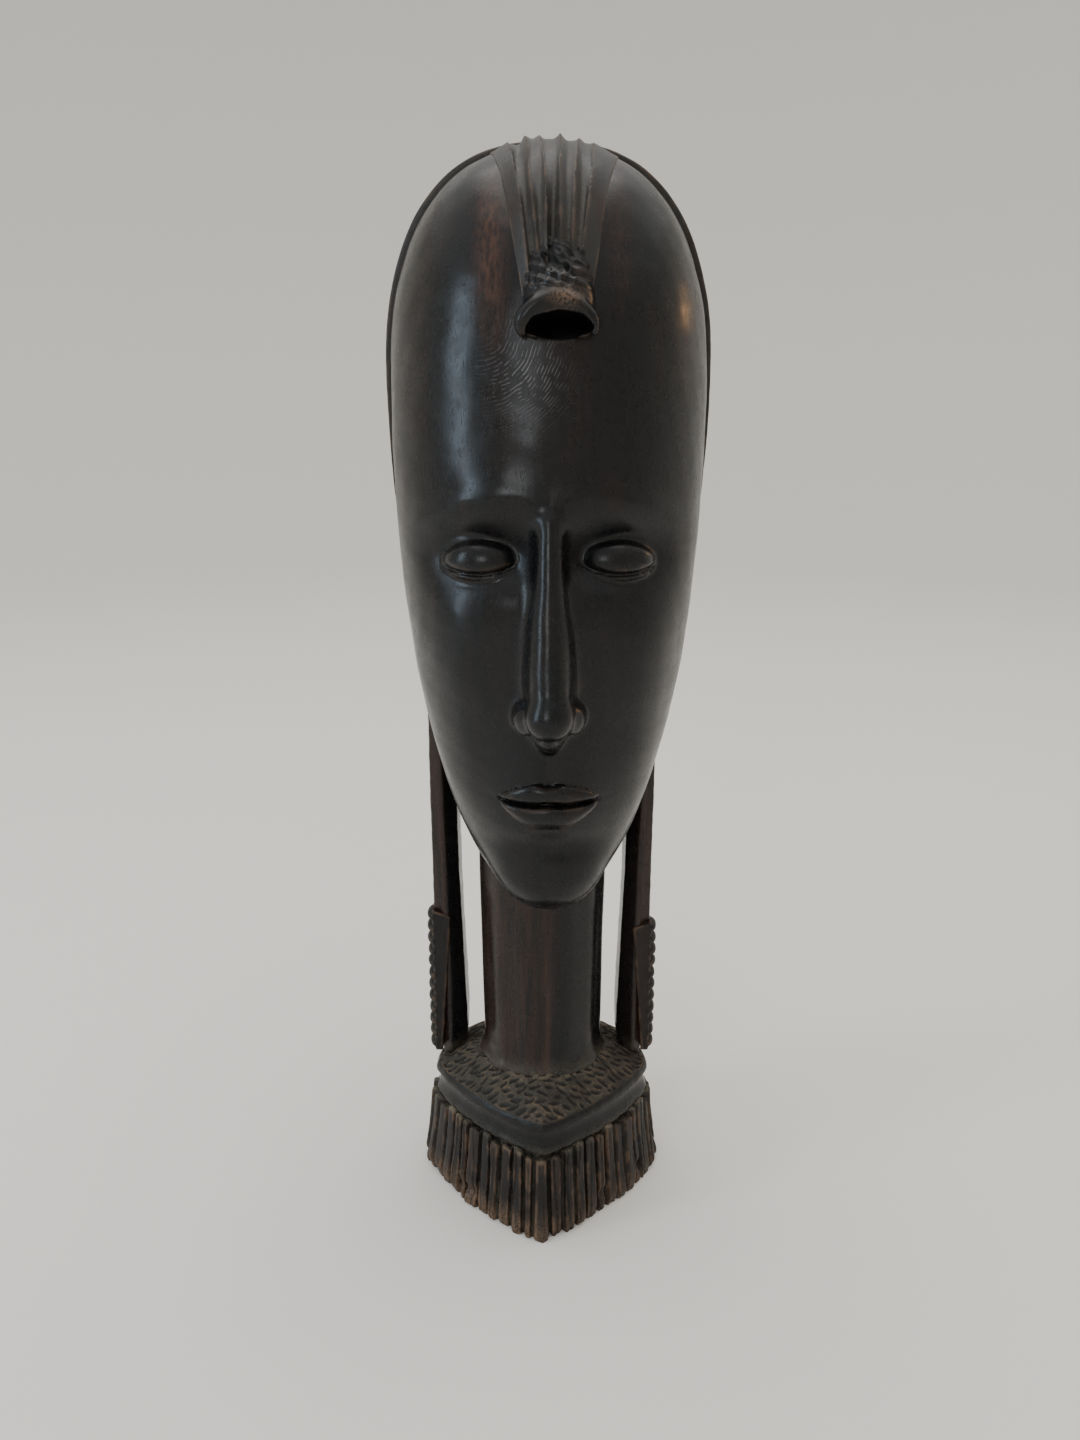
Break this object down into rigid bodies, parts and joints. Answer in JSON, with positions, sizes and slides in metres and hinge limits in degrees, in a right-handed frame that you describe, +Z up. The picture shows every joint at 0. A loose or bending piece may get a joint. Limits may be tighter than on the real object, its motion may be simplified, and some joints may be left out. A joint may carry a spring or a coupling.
{
  "type": "carved ancestor figure",
  "caption": "Free-standing carved hardwood head on a column neck, with stretched ear lobes, a combed crest and a fringed shoulder plinth.",
  "frame": {"origin": "on the table, under the axis of the neck", "axes": "+Z up, the face looks along -Y, +X to the viewer's right; left and right in node names are the viewer's"},
  "size_m": [0.0726, 0.0874, 0.2509],
  "materials": {
    "polished_blackwood": "hand-polished near-black heartwood with red-brown streaks, satin gloss",
    "combed_blackwood": "near-black heartwood, combed with a gouge, dull satin, pale dust in the grooves",
    "worn_blackwood": "near-black heartwood worn brown on its ridges and tips, dull",
    "dusty_blackwood": "chip-carved near-black heartwood with grey-tan dust, matt"
  },
  "bodies": {
    "root": {"fringe_skirt": "worn_blackwood", "collar_band": "polished_blackwood", "shoulder_cap": "dusty_blackwood", "neck": "polished_blackwood", "head": "polished_blackwood", "forehead_knot": "polished_blackwood", "hair_crest": "combed_blackwood", "hair_cap": "combed_blackwood", "ear_left": "polished_blackwood", "ear_right": "polished_blackwood", "ear_lobe_left": "polished_blackwood", "ear_lobe_right": "polished_blackwood", "bead_drop_left": "worn_blackwood", "bead_drop_right": "worn_blackwood"}
  },
  "joints": []
}
